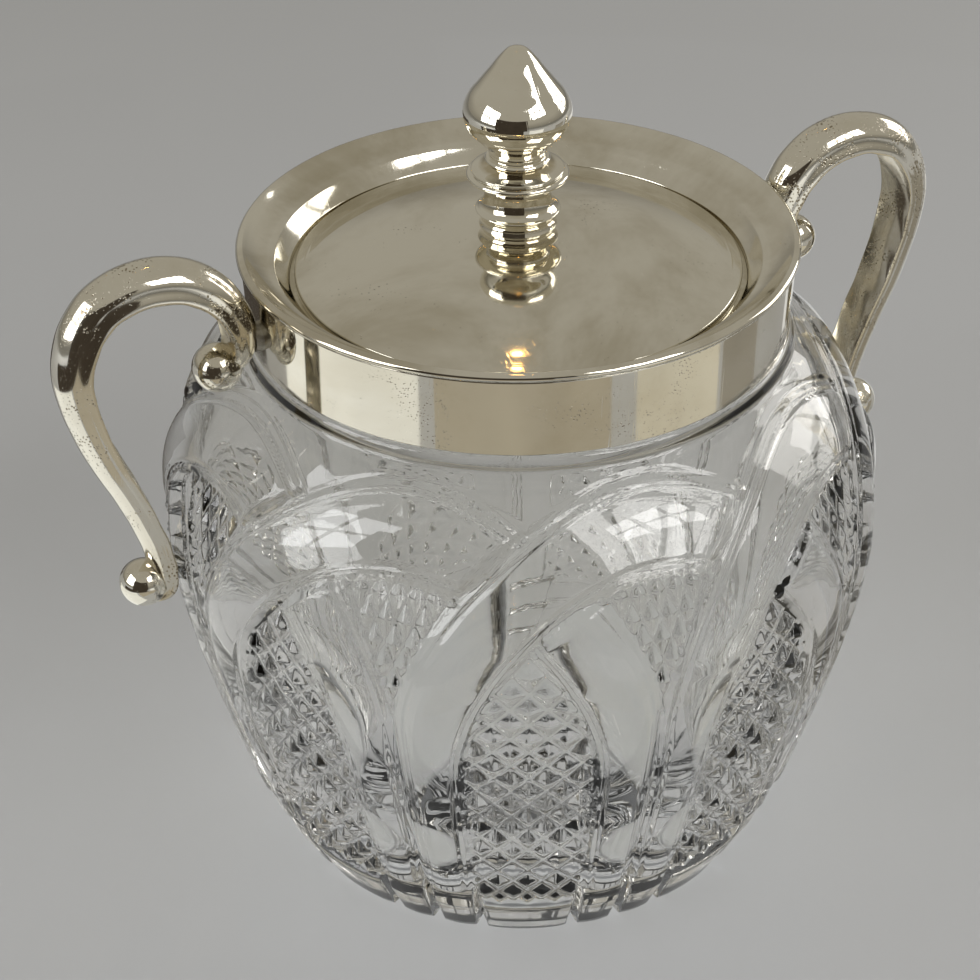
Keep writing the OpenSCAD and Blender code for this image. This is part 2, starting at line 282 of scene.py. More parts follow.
def makeScratches():  # fine polishing lines in three directions, and shallow dents
    group, given, out = newGroup("polish marks")
    socketIn(group, "Scale", value=1)
    socketIn(group, "Dents", value=0.5)
    socketOut(group, "Height")
    total = None
    for turn in polishDirections:
        lines = noise(group, maths(group, "MULTIPLY", given.outputs["Scale"], 90), 2, 0.5, (30, 1, 1), turn)
        cut = ramp(group, lines, 0.66, 0.8)
        total = cut if total is None else maths(group, "ADD", total, cut)
    dents = maths(group, "MULTIPLY", noise(group, 55, 1.5, 0.4), given.outputs["Dents"])
    group.links.new(maths(group, "ADD", maths(group, "MULTIPLY", total, -0.06), dents), out.inputs["Height"])
    return group


def makeSmears():  # how cleanly a surface was wiped: a roughness between two values
    group, given, out = newGroup("wiping")
    socketIn(group, "Scale", value=60)
    socketIn(group, "Clean", value=0.05)
    socketIn(group, "Smeared", value=0.2)
    socketOut(group, "Roughness")
    streaks = noise(group, given.outputs["Scale"], 5, 0.6, (1, 1, 0.4), (20, 15, 35), 0.6)
    group.links.new(ramp(group, streaks, 0.35, 0.75, given.outputs["Clean"], given.outputs["Smeared"]),
                    out.inputs["Roughness"])
    return group


toning, specks, scratches, smears = makeToning(), makeSpecks(), makeScratches(), makeSmears()


def useGroup(tree, group, **values):
    node = tree.nodes.new("ShaderNodeGroup")
    node.node_tree = group
    for label, value in values.items():
        node.inputs[label.replace("_", " ")].default_value = value
    return node.outputs[0]


def startMaterial(name):
    material = bpy.data.materials.new(name)
    material.use_nodes = True
    tree = material.node_tree
    return material, tree, tree.nodes["Principled BSDF"]


def bumped(tree, shader, height, distance):
    bump = tree.nodes.new("ShaderNodeBump")
    bump.inputs["Distance"].default_value = distance
    bump.inputs["Strength"].default_value = 1
    tree.links.new(height, bump.inputs["Height"])
    tree.links.new(bump.outputs["Normal"], shader.inputs["Normal"])


def makeSilver(name, look):
    material, tree, shader = startMaterial(name)
    shader.inputs["Metallic"].default_value = 1
    tone = useGroup(tree, toning, Scale=look["cloud"], Spread=look["toned"], In_Hollows=look["crevices"])
    spots = useGroup(tree, specks, Scale=look["speckScale"], Amount=look["specks"],
                     Everywhere=look["pitted"])
    colour = mixColour(tree, tone, look["bright"], look["warm"])
    colour = mixColour(tree, spots, colour, look["dark"])
    tree.links.new(colour, shader.inputs["Base Color"])
    wiped = useGroup(tree, smears, Scale=look["wipe"], Clean=look["gloss"], Smeared=look["dull"])
    dirty = maths(tree, "MAXIMUM", maths(tree, "MULTIPLY", tone, look["film"]), spots)
    rough = maths(tree, "MULTIPLY_ADD", dirty, look["rougher"], wiped, clamp=True)
    tree.links.new(rough, shader.inputs["Roughness"])
    marks = useGroup(tree, scratches, Scale=look["marks"], Dents=look["dents"])
    height = maths(tree, "MULTIPLY_ADD", spots, -look["pitDepth"], marks)
    bumped(tree, shader, height, look["bump"])
    return material


silverBase = {  # what every silver piece starts from
    "bright": (0.87, 0.84, 0.75), "warm": (0.62, 0.55, 0.40), "dark": (0.16, 0.13, 0.09),
    "cloud": 38, "toned": 0.45, "crevices": 1.0, "speckScale": 1500, "specks": 0.35, "pitted": 0.0,
    "gloss": 0.045, "dull": 0.12, "wipe": 70, "film": 0.15, "rougher": 0.22,
    "marks": 1.0, "dents": 0.5, "pitDepth": 0.5, "bump": 0.00006,
}


# camera

view = {  # in millimetres and degrees
    "place": (-119.5, -263.5, 253.9), "aim": (-4.3, 1.9, 57.8), "roll": -0.79, "lens": 79.7, "sensor": 36,
    "clip": (0.01, 50),  # metres
}

cameraData = bpy.data.cameras.new("camera")
cameraData.lens = view["lens"]
cameraData.sensor_width = view["sensor"]
cameraData.clip_start, cameraData.clip_end = view["clip"]
camera = bpy.data.objects.new("camera", cameraData)
scene.collection.objects.link(camera)
cameraPlace = Vector(view["place"]) * mm
towards = (Vector(view["aim"]) * mm - cameraPlace).to_track_quat("-Z", "Y").to_matrix().to_4x4()
roll = Matrix.Rotation(math.radians(view["roll"]), 4, "Z")
camera.matrix_world = Matrix.Translation(cameraPlace) @ towards @ roll
scene.camera = camera
print("camera set")


# floor and studio light, in metres

studio = {
    "floor": (0.47, 0.48, 0.50), "floorPaler": 1.03, "floorSize": 12, "floorRough": 0.9, "floorShine": 0.1,
    "backdrop": (0.36, 0.36, 0.36), "sky": (0.37, 0.35, 0.30), "low": (0.25, 0.235, 0.2),
    "skyFrom": (0.0, 0.3),  # how high the room turns from low to sky
}


def makeFloor():
    corners = np.array([(-1, -1, 0), (1, -1, 0), (1, 1, 0), (-1, 1, 0)]) * studio["floorSize"] / mm
    floor = makeMesh("floor", corners, [(0, 1, 2, 3)])
    material, tree, shader = startMaterial("studio floor")
    paler = tuple(v * studio["floorPaler"] for v in studio["floor"])
    tree.links.new(mixColour(tree, noise(tree, 14, 3), studio["floor"], paler), shader.inputs["Base Color"])
    shader.inputs["Roughness"].default_value = studio["floorRough"]
    shader.inputs["Specular IOR Level"].default_value = studio["floorShine"]
    floor.data.materials.append(material)
    floor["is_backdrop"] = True


def makeSky():  # the camera sees a plain backdrop, and everything else a room that is paler overhead
    world = bpy.data.worlds.new("studio")
    scene.world = world
    world.use_nodes = True
    tree = world.node_tree
    direction = tree.nodes.new("ShaderNodeTexCoord")
    split = tree.nodes.new("ShaderNodeSeparateXYZ")
    tree.links.new(direction.outputs["Generated"], split.inputs["Vector"])
    rays = tree.nodes.new("ShaderNodeLightPath")
    room = mixColour(tree, ramp(tree, split.outputs["Z"], *studio["skyFrom"]), studio["low"], studio["sky"])
    shown = mixColour(tree, rays.outputs["Is Camera Ray"], room, studio["backdrop"])
    tree.links.new(shown, tree.nodes["Background"].inputs["Color"])


makeFloor()
makeSky()

windowAim = (0, 0, 0.07)
windows = {  # each has panes across and up, with dark bars between them
    "frontWindow": {"place": (0.30, -0.62, 0.62), "size": (0.46, 0.34), "panes": (3, 2), "bar": 0.03,
                    "glow": 6, "colour": (1.0, 0.99, 0.98)},
    "leftWindow": {"place": (-0.80, -0.05, 0.40), "size": (0.55, 0.5), "panes": (2, 2), "bar": 0.035,
                   "glow": 5, "colour": (0.98, 0.99, 1.0)},
    "rightWindow": {"place": (0.85, 0.10, 0.35), "size": (0.5, 0.4), "panes": (2, 1), "bar": 0.04,
                    "glow": 3, "colour": (1.0, 0.98, 0.95)},
    "lamp": {"place": (0.10, 0.23, 0.95), "size": (0.025, 0.025), "panes": (1, 1), "bar": 0,
             "glow": 30, "colour": (1.0, 0.55, 0.15)},
}


def softWindow(name, window):
    across, up = window["panes"]
    bar = window["bar"]
    at = Vector(window["place"])
    turn = (Vector(windowAim) - at).to_track_quat("-Z", "Y").to_matrix().to_4x4()
    paneW = (window["size"][0] - bar * (across - 1)) / across
    paneH = (window["size"][1] - bar * (up - 1)) / up
    for i in range(across):
        for j in range(up):
            light = bpy.data.lights.new(f"{name}{i}{j}", "AREA")
            light.shape = "RECTANGLE"
            light.size, light.size_y = paneW, paneH
            light.energy = window["glow"] * math.pi * paneW * paneH
            light.color = window["colour"]
            lamp = bpy.data.objects.new(light.name, light)
            scene.collection.objects.link(lamp)
            lamp.visible_camera = False
            x = (i - (across - 1) / 2) * (paneW + bar)
            y = (j - (up - 1) / 2) * (paneH + bar)
            lamp.matrix_world = Matrix.Translation(at) @ turn @ Matrix.Translation((x, y, 0))


for name, window in windows.items():
    softWindow(name, window)

cardHeight = 0.3  # just off the floor, in millimetres
paintedReflectionCards = {  # glowing cards seen only in reflections, painted reflections of a lit tabletop where bright and of dark room parts where dark: from and to turn in degrees, then near and far radius and far height in millimetres, then glow
    "cardLeft": (-128, -62, 75, 212, cardHeight, (0.95, 0.95, 0.9)),
    "cardFront": (-56, 10, 110, 212, cardHeight, (0.42, 0.38, 0.30)),
    "cardRight": (20, 58, 75, 212, cardHeight, (0.6, 0.56, 0.46)),
    "cardRightDark": (60, 82, 70, 420, cardHeight, (0.28, 0.26, 0.22)),
    "cardBack": (110, 160, 75, 330, cardHeight, (0.8, 0.8, 0.78)),
    "cardBackDark": (176, 214, 75, 330, cardHeight, (0.07, 0.06, 0.05)),
    "cardFarDark": (-104, -12, 213, 480, cardHeight, (0.05, 0.04, 0.03)),
    "cardFarBright": (0, 30, 213, 480, cardHeight, (0.95, 0.95, 0.92)),
    "cardMaker": (-70, -4, 480, 482, 330, (0.05, 0.04, 0.03)),  # painted dark reflection of somebody standing in front
}


def reflectionOnlyCard(name, fromTurn, toTurn, near, far, top, glow):  # a glowing card that shows only in polish: a painted reflection of a lit tabletop where bright, of dark room parts where dark
    turns = np.radians(np.linspace(fromTurn, toTurn, 13) - 90)
    edges = ((near, cardHeight), (far, top))
    points = [(r * math.cos(a), r * math.sin(a), z) for r, z in edges for a in turns]
    n = len(turns)
    card = makeMesh(name, points, [(k, k + n, k + n + 1, k + 1) for k in range(n - 1)])
    material, tree, shader = startMaterial(name)
    clouds = ramp(tree, noise(tree, 9, 2), 0.3, 0.7)
    dimmer = tuple(0.85 * v for v in glow)
    tree.links.new(mixColour(tree, clouds, dimmer, glow), shader.inputs["Emission Color"])
    shader.inputs["Emission Strength"].default_value = 1
    shader.inputs["Base Color"].default_value = (0, 0, 0, 1)
    shader.inputs["Specular IOR Level"].default_value = 0
    card.data.materials.append(material)
    # hidden from camera, diffuse light and shadows, so it lights nothing and is seen only as a painted
    # reflection
    card.visible_camera = card.visible_diffuse = card.visible_shadow = card.visible_transmission = False
    card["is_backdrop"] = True


for name, card in paintedReflectionCards.items():
    reflectionOnlyCard(name, *card)
scene.view_settings.view_transform = "Standard"
print("studio set")


# cut glass

bowl = {  # in millimetres, as are the other pieces
    "height": 91, "neckTop": 96.3, "footR": 41.5, "footFlareR": 45.3, "footH": 8,
    "bellyR": 57.2, "bellyZ": 60, "shoulderR": 40.9, "neckR": 38.7, "mouthR": 33.2,
    "wall": 5.6, "baseT": 9, "kickUp": 1.5, "standR": 32.5,
    "columns": 1080, "innerColumns": 216, "grain": 0.36,
}
cut = {  # turns and half widths in degrees, rises, heights and depths in millimetres
    "arches": 9, "turn": 6.9,
    "outerHalf": 40, "outerRise": 38.3, "outerSpring": 50,
    "innerHalf": 30.3, "innerRise": 36, "innerSpring": 41,
    "edgeDrop": 1.25, "borderIn": 1.35, "borderHalf": 0.4, "borderDeep": 0.3,
    "dip": 0.7, "dipReach": 1.8,
    "floorDeep": 1.9, "wallRun": 0.8, "neckDeep": 1.1,
    "coarse": (5.6, 6.1, 1.25), "fine": (3.0, 7.0, 0.9),  # one diamond's width, height and depth
    "ledgeZ": 12.6, "panelZ": 9.6, "ledgeHalf": 0.8, "ledgeDeep": 0.7,
    "footIn": 0.5, "footPillow": 0.5, "notchHalf": 0.9, "notchDeep": 1.8, "notchAt": (-10, 10, 20),
}


def smooth01(x):
    x = np.clip(x, 0, 1)
    return x * x * (3 - 2 * x)


def sideways(delta, z, half, rise, spring, perDegree):  # distance outside an arch's outline, in mm
    up = np.maximum(z - spring, 0)
    f = np.sqrt((delta / half) ** 2 + (up / rise) ** 2) + 1e-6
    slope = np.hypot(delta / half ** 2 / f / perDegree, up / rise ** 2 / f) + 1e-4
    return (f - 1) / slope, f


def diamonds(turn, z, size):
    wide, tall, deep = size
    a, b = turn / wide + z / tall, turn / wide - z / tall
    tent = np.minimum(1 - np.abs(2 * (a % 1) - 1), 1 - np.abs(2 * (b % 1) - 1))
    return deep * tent


def cutDepth(turn, z, radius):  # how far the cutting goes in, at a turn from a panel's middle
    perDegree = radius * math.pi / 180
    pitch = 360 / cut["arches"]
    far = 1e3
    over, under = np.full((2,) + np.broadcast(turn, z).shape, -far)
    overT, underT = np.zeros_like(over), np.zeros_like(over)
    away = np.full_like(over, far)
    inside = np.zeros_like(over)
    for k in (-1.5, -0.5, 0.5, 1.5):
        delta = turn - k * pitch + 0 * z
        fromOuter, _ = sideways(delta, z, cut["outerHalf"], cut["outerRise"], cut["outerSpring"], perDegree)
        fromInner, f = sideways(delta, z, cut["innerHalf"], cut["innerRise"], cut["innerSpring"], perDegree)
        within = np.minimum(-fromOuter, fromInner)
        across = fromInner / np.maximum(fromInner - fromOuter, 1e-3)
        left = delta < 0
        better = left & (within > over)
        over, overT = np.where(better, within, over), np.where(better, across, overT)
        better = ~left & (within > under)
        under, underT = np.where(better, within, under), np.where(better, across, underT)
        away = np.minimum(away, np.maximum(-within, 0))
        inside += f < 1

    def band(within, across):
        crown = -cut["edgeDrop"] * (2 * across - 1) ** 2
        line = np.clip(1 - np.abs(within - cut["borderIn"]) / cut["borderHalf"], 0, 1)
        return crown - cut["borderDeep"] * line

    dip = cut["dip"] * (1 - smooth01(-over / cut["dipReach"]))
    ribbon = np.where(over > 0, band(over, overT), band(under, underT) - dip)
    coarse = diamonds(turn + 0 * z, z, cut["coarse"])
    other = (turn % pitch) - pitch / 2
    fine = diamonds(other + 0 * z, z - 50, cut["fine"])
    floorLevel = np.where(inside >= 2, coarse, fine) - cut["floorDeep"]
    floorLevel = np.where(inside == 0, -cut["neckDeep"], floorLevel)
    wall = smooth01(away / cut["wallRun"])
    level = np.where(away > 0, floorLevel * wall - cut["edgeDrop"] * (1 - wall), ribbon)

    fromNotch = np.full_like(over, far)
    for n in cut["notchAt"]:
        for lap in (-pitch, 0, pitch):
            fromNotch = np.minimum(fromNotch, np.abs(turn - n + lap) * perDegree)
    block = -cut["footIn"] - cut["footPillow"] * np.exp(-fromNotch / 1.5)
    block = block - cut["notchDeep"] * np.clip(1 - fromNotch / cut["notchHalf"], 0, 1)
    base = np.where(np.abs(turn) < -cut["notchAt"][0], cut["panelZ"], cut["ledgeZ"])
    ledge = cut["ledgeDeep"] * np.clip(1 - np.abs(z - base) / cut["ledgeHalf"], 0, 1)
    level = np.where(z > base, level, block) - ledge
    return -level * smooth01((bowl["height"] - 0.2 - z) / 1.2)


def makeGlass():
    b = bowl
    shoulderPull = (b["bellyR"] - 1.2, b["bellyZ"] + 0.645 * (b["height"] - b["bellyZ"]))
    outside = np.vstack([
        bow((b["footR"] - 1.2, 0), (b["footR"], 0), (b["footR"] + 0.3, 1), 5),
        bow((b["footFlareR"], b["footH"]), (b["bellyR"], b["bellyZ"] - 14), (b["bellyR"], b["bellyZ"]), 60),
        bow((b["bellyR"], b["bellyZ"]), shoulderPull, (b["shoulderR"], b["height"]), 60)[1:]])
    p = evenly(outside, b["grain"])
    run = np.gradient(p, axis=0)
    run /= np.linalg.norm(run, axis=1)[:, None]
    outward = np.column_stack([run[:, 1], -run[:, 0]])
    perPitch = b["columns"] // cut["arches"]
    pitch = 360 / cut["arches"]
    turn = (np.arange(perPitch) / perPitch - 0.5) * pitch
    depth = cutDepth(turn[None], p[:, 1:2], p[:, :1])
    depth = np.tile(depth, (1, cut["arches"]))
    r = p[:, :1] - depth * outward[:, :1]
    z = np.maximum(p[:, 1:2] - depth * outward[:, 1:2], 0)
    angle = np.radians((np.arange(b["columns"]) / perPitch - 0.5) * pitch + cut["turn"])
    outer = np.stack([r * np.cos(angle), r * np.sin(angle), z], 2)

    innerFloorR = b["footR"] - b["wall"]
    innerBellyR = b["bellyR"] - b["wall"]
    inner = np.vstack([
        [(b["neckR"], b["height"])],
        bow((b["neckR"], b["neckTop"] - 0.6), (b["neckR"], b["neckTop"]),
            (b["neckR"] - 0.6, b["neckTop"]), 3),
        bow((b["mouthR"] + 0.8, b["neckTop"]), (b["mouthR"], b["neckTop"]),
            (b["mouthR"], b["neckTop"] - 0.8), 3),
        bow((innerBellyR - 0.5, b["bellyZ"] + 5), (shoulderPull[0] - b["wall"] - 1, shoulderPull[1] - 1),
            (b["mouthR"], b["height"] - 4), 16)[::-1],
        bow((innerFloorR + 6, b["baseT"] + 18), (innerBellyR, b["bellyZ"] - 14),
            (innerBellyR, b["bellyZ"]), 18)[::-1],
        bow((innerFloorR - 8, b["baseT"]), (innerFloorR + 3, b["baseT"] + 1),
            (innerFloorR + 5, b["baseT"] + 13), 12)[::-1],
        [(innerFloorR * share, b["baseT"]) for share in (0.6, 0.4, 0.2, 0.07)]])
    under = np.array([
        (b["standR"] + 4, 0), (b["standR"] + 0.6, 0), (b["standR"] - 1.5, b["kickUp"]),
        (b["standR"] - 8, b["kickUp"]), (b["standR"] * 0.4, b["kickUp"]), (b["standR"] * 0.1, b["kickUp"])])
    share = b["columns"] // b["innerColumns"]  # outer columns to each inner one
    innerAngle = np.radians((np.arange(b["innerColumns"]) * share / perPitch - 0.5) * pitch + cut["turn"])

    def spun(outline):
        rr, zz = outline[:, :1], np.repeat(outline[:, 1:], len(innerAngle), 1)
        return np.stack([rr * np.cos(innerAngle), rr * np.sin(innerAngle), zz], 2)

    innerGrid, underGrid = spun(inner), spun(under)
    nOuter, cols, few = len(outer), b["columns"], b["innerColumns"]
    middles = [[0, 0, b["baseT"]], [0, 0, b["kickUp"]]]
    points = np.vstack([g.reshape(-1, 3) for g in (outer, innerGrid, underGrid)] + [middles])
    quads = []

    def grid(start, rows, columns, flip):
        i, k = np.meshgrid(np.arange(rows - 1), np.arange(columns), indexing="ij")
        a, c = start + i * columns + k, start + i * columns + (k + 1) % columns
        q = np.stack([a, c, c + columns, a + columns], 2).reshape(-1, 4)
        quads.append(q[:, ::-1] if flip else q)

    innerStart = nOuter * cols
    underStart = innerStart + len(inner) * few
    grid(0, nOuter, cols, False)
    grid(innerStart, len(inner), few, False)
    grid(underStart, len(under), few, True)
    tris = []

    def stitch(many, fewRow, flip):  # joins a fine ring to a coarse one
        j = np.arange(few)
        new = []
        for i in range(share):
            toNear = j if i < share / 2 else (j + 1) % few
            here, after = many + j * share + i, many + (j * share + i + 1) % cols
            new.append(np.stack([here, after, fewRow + toNear], 1))
        half = int(math.ceil(share / 2))
        new.append(np.stack([many + j * share + half, fewRow + (j + 1) % few, fewRow + j], 1))
        new = np.vstack(new)
        tris.append(new[:, ::-1] if flip else new)

    stitch((nOuter - 1) * cols, innerStart, False)
    stitch(0, underStart, True)
    j = np.arange(few)
    lastInner, lastUnder = underStart - few, underStart + (len(under) - 1) * few
    tip = len(points) - 2
    tris.append(np.stack([lastInner + j, lastInner + (j + 1) % few, np.full(few, tip)], 1))
    tris.append(np.stack([lastUnder + (j + 1) % few, lastUnder + j, np.full(few, tip + 1)], 1))
    quads, tris = np.vstack(quads), np.vstack(tris)

    mesh = bpy.data.meshes.new("cutGlass")
    mesh.vertices.add(len(points))
    mesh.vertices.foreach_set("co", (points * mm).astype(np.float32).ravel())
    loops = np.concatenate([quads.ravel(), tris.ravel()]).astype(np.int32)
    starts = np.concatenate([np.arange(len(quads)) * 4, len(quads) * 4 + np.arange(len(tris)) * 3])
    starts = starts.astype(np.int32)
    mesh.loops.add(len(loops))
    mesh.loops.foreach_set("vertex_index", loops)
    mesh.polygons.add(len(starts))
    mesh.polygons.foreach_set("loop_start", starts)
    mesh.polygons.foreach_set("use_smooth", np.ones(len(starts), bool))
    mesh.update(calc_edges=True)
    mesh.validate()
    piece = bpy.data.objects.new("cutGlass", mesh)
    scene.collection.objects.link(piece)
    return piece


glassLook = {
    "ior": 1.54, "clear": (0.985, 0.985, 0.975), "tinted": (0.96, 0.96, 0.94), "shadow": (0.93, 0.93, 0.92),
    "wipe": 45, "gloss": 0.0, "smeared": 0.045, "ripples": (45, 160), "fineShare": 0.6, "bump": 0.00004,
}


def makeGlassMaterial():
    g = glassLook
    material, tree, shader = startMaterial("lead glass")
    shader.inputs["Transmission Weight"].default_value = 1
    shader.inputs["IOR"].default_value = g["ior"]
    tint = ramp(tree, noise(tree, 30, 3), 0.4, 0.7)
    tree.links.new(mixColour(tree, tint, g["clear"], g["tinted"]), shader.inputs["Base Color"])
    wiped = useGroup(tree, smears, Scale=g["wipe"], Clean=g["gloss"], Smeared=g["smeared"])
    tree.links.new(wiped, shader.inputs["Roughness"])
    broad, fine = (noise(tree, scale, 2) for scale in g["ripples"])
    bumped(tree, shader, maths(tree, "MULTIPLY_ADD", fine, g["fineShare"], broad), g["bump"])
    clear = tree.nodes.new("ShaderNodeBsdfTransparent")  # lets light through to the floor
    clear.inputs["Color"].default_value = (*g["shadow"], 1)
    rays = tree.nodes.new("ShaderNodeLightPath")
    mix = tree.nodes.new("ShaderNodeMixShader")
    tree.links.new(rays.outputs["Is Shadow Ray"], mix.inputs["Fac"])
    tree.links.new(shader.outputs["BSDF"], mix.inputs[1])
    tree.links.new(clear.outputs["BSDF"], mix.inputs[2])
    tree.links.new(mix.outputs["Shader"], tree.nodes["Material Output"].inputs["Surface"])
    return material


cutGlass = makeGlass()
cutGlass.data.materials.append(makeGlassMaterial())
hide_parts("glass_body")
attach(cutGlass, "bowl")
print("glass cut:", len(cutGlass.data.polygons), "faces")


# collar

collar = {
    "rimR": 42, "height": 13.5, "sheet": 0.8, "lipH": 1.4, "lipOut": 0.6, "taper": 0.5,
    "dishW": 7.6, "slopeW": 5.5, "slopeDrop": 2.9, "wallDrop": 5.4, "seatDrop": 6.2,
    "ledgeW": 2.8, "throatH": 10,
}
rimZ = bowl["height"] + collar["height"]
seatZ = rimZ - collar["seatDrop"]
recessR = collar["rimR"] - collar["dishW"]
throatR = recessR - collar["ledgeW"]


def finish(piece, body, slot, material, *stoodFor):
    piece.data.materials.append(material)
    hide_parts(*stoodFor)
    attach(piece, body)
    return piece


def makeCollar():
    c = collar
    lowR, topR = c["rimR"] - c["lipOut"] - c["taper"], c["rimR"] - c["lipOut"]
    topZ = rimZ - c["lipH"]
    band = turned("bandSilver", [
        (lowR - c["sheet"], bowl["height"]), (lowR, bowl["height"]), (topR, topZ), (topR - c["sheet"], topZ)],
        columns=384, corner=0.25, wobble=0.05, seed=3)
    slopeEnd = (c["rimR"] - c["slopeW"], rimZ - c["slopeDrop"])
    slopePull = (c["rimR"] - c["slopeW"] + 2, rimZ - c["slopeDrop"] + 0.5)
    dishTop = bow((c["rimR"] - 1, rimZ), slopePull, slopeEnd, 10)
    steep = bow(slopeEnd, (recessR + 1.2, rimZ - c["wallDrop"] + 1.2), (recessR, rimZ - c["wallDrop"]), 6)
    lip = bow((c["rimR"] - 0.15, topZ + 0.25), (c["rimR"] + 0.15, topZ + 0.75),
              (c["rimR"] - 0.1, rimZ - 0.35), 6)
    lipTop = bow((c["rimR"] - 0.1, rimZ - 0.35), (c["rimR"] - 0.3, rimZ), (c["rimR"] - 1, rimZ), 5)
    dish = turned("dishSilver", np.vstack([
        [(topR, topZ)], lip, lipTop[1:], dishTop[1:], steep[1:],
        [(recessR, seatZ), (throatR + c["sheet"], seatZ), (throatR + c["sheet"], seatZ - c["sheet"]),
         (recessR + c["sheet"], seatZ - c["sheet"]),
         (recessR + c["sheet"], rimZ - c["wallDrop"] - c["sheet"]),
         (c["rimR"] - c["slopeW"], rimZ - c["slopeDrop"] - c["sheet"]),
         (topR - c["sheet"], topZ)]]),
        columns=384, corner=0.15, wobble=0.04, seed=4)
    throat = turned("throatSilver", [
        (throatR, seatZ - c["throatH"]), (throatR + c["sheet"], seatZ - c["throatH"]),
        (throatR + c["sheet"], seatZ), (throatR, seatZ)], columns=240, corner=0.2, seed=5)
    return band, dish, throat


collarLooks = {
    "collar band": {"toned": 0.35, "specks": 0.5, "speckScale": 2500, "pitted": 0.2},
    "dish": {"toned": 0.75, "warm": (0.55, 0.50, 0.38), "specks": 0.2},
    "mouth": {"toned": 0.8, "dull": 0.25},
}
band, dish, throat = makeCollar()
for piece, word, node in ((band, "collar band", "collar_band"), (dish, "dish", "collar_dish"),
                          (throat, "mouth", "collar_throat")):
    silver = makeSilver(f"{word} silver", {**silverBase, **collarLooks[word]})
    finish(piece, "bowl", "silver", silver, node)
print("collar turned")


# lid and finial

lid = {
    "gap": 0.8, "edge": 1.2, "bevelW": 1.8, "bevelH": 0.6, "rise": 6.1, "sheet": 0.9,
    "bezelH": 6, "bezelGap": 0.5, "studR": 1.65,
}
finial = {"stemR": 6.3, "discR": 7.6, "knobR": 7.95, "stemH": 7.2, "discH": 4.4, "knobH": 16.1, "sunk": 0.3}
lidR = recessR - lid["gap"]
domeR = lidR - lid["bevelW"]
domeZ = seatZ + lid["edge"] + lid["bevelH"]
ballR = (domeR ** 2 + lid["rise"] ** 2) / (2 * lid["rise"])
ballZ = domeZ + lid["rise"] - ballR
bezelR = throatR - lid["bezelGap"]
stemZ = domeZ + lid["rise"] - finial["sunk"]
discZ = stemZ + finial["stemH"]
knobZ = discZ + finial["discH"]


def domeLine(radius, fromR, toR, steps):  # along the dome, from one distance off the axis to another
    r = np.linspace(fromR, toR, steps)
    return np.column_stack([r, ballZ + np.sqrt(radius ** 2 - r ** 2)])


def makeLid():
    holeR = lid["studR"]
    innerR = bezelR - lid["sheet"]
    plate = turned("lidSilver", np.vstack([
        [(innerR, seatZ), (lidR, seatZ)],
        bow((lidR, seatZ + lid["edge"] - 0.4), (lidR, seatZ + lid["edge"]),
            (lidR - 0.4, seatZ + lid["edge"] + 0.1), 4),
        bow((domeR + 0.4, domeZ - 0.15), (domeR + 0.1, domeZ), (domeR - 0.3, domeZ + 0.1), 4),
        domeLine(ballR, domeR - 1.2, holeR, 36),
        domeLine(ballR - lid["sheet"], holeR, innerR, 30)]),
        columns=360, corner=0.1, seed=6)
    ring = turned("lidRing", [
        (bezelR - lid["sheet"], seatZ - lid["bezelH"]), (bezelR, seatZ - lid["bezelH"]),
        (bezelR, seatZ), (bezelR - lid["sheet"], seatZ)], columns=240, corner=0.3, wobble=0.03, seed=7)
    return plate, ring


def raised(points, height):  # the same outline, higher up
    return [(r, z + height) for r, z in points]


def makeFinial():
    f, holeR = finial, lid["studR"]
    s, d, k, top = f["stemR"], f["discR"], f["knobR"], f["knobH"]
    ringAndHollow = smoothLine(raised([
        (s - 0.5, 0.25), (s - 0.75, 0.9), (s - 0.65, 1.7), (s - 0.15, 2.35), (s, 2.6), (s - 0.4, 2.9),
        (s - 1, 3.6), (s - 1.3, 4.6), (s - 1.4, 5.8), (s - 1.3, 6.7), (s - 0.8, f["stemH"])], stemZ), 8)
    stem = turned("finialStemSilver", np.vstack([
        domeLine(ballR, holeR, s - 0.5, 4), ringAndHollow, [(holeR, discZ)]]),
        columns=192, corner=0.06, seed=8)
    discEdge = smoothLine(raised([
        (d - 1.2, 0.15), (d - 0.3, 0.45), (d, 0.85), (d - 0.2, 1.25), (d - 0.85, 1.45),
        (d - 0.7, 1.7), (d - 0.9, 1.95), (d - 2.2, 2.35), (d - 3.2, 3.0)], discZ), 6)
    bead = smoothLine(raised([(d - 3.0, 3.05), (d - 2.75, 3.4), (d - 3.0, 3.75)], discZ), 6)
    disc = turned("finialDiscSilver", np.vstack([
        [(holeR, discZ), (s - 0.8, discZ)], discEdge, bead,
        [(d - 3.4, discZ + 3.8), (d - 3.35, knobZ), (holeR, knobZ)]]),
        columns=192, corner=0.06, seed=9)
    onion = smoothLine(raised([
        (d - 3.2, 0.6), (k - 2.6, 1.8), (k - 0.9, 3.6), (k - 0.1, 5.4), (k - 0.1, 7.1), (k - 0.9, 8.9),
        (k - 2.3, 10.7), (k - 3.9, top - 3.4), (k - 5.2, top - 1.7), (k - 6.6, top - 0.3),
        (0, top)], knobZ), 9)
    knob = turned("finialKnobSilver", np.vstack([[(0, knobZ), (d - 3.35, knobZ)], onion]),
                  columns=192, corner=0.06, seed=10)
    return stem, disc, knob


lidLooks = {
    "lid": {"toned": 0.75, "warm": (0.55, 0.50, 0.38), "gloss": 0.03, "dull": 0.09},
    "lid ring": {"toned": 0.8, "dull": 0.25},
    "finial": {"toned": 0.25, "specks": 0.15, "gloss": 0.03, "dull": 0.08},
}
lidSilver, ringSilver, finialSilver = (
    makeSilver(f"{word} silver", {**silverBase, **look}) for word, look in lidLooks.items())
plate, ring = makeLid()
finish(plate, "lid", "silver", lidSilver, "lid_plate")
finish(ring, "lid", "silver", ringSilver, "lid_bezel")
for piece, node in zip(makeFinial(), ("finial_stem", "finial_disc", "finial_knob")):
    finish(piece, "lid", "silver", finialSilver, node)
print("lid and finial turned")


# handles

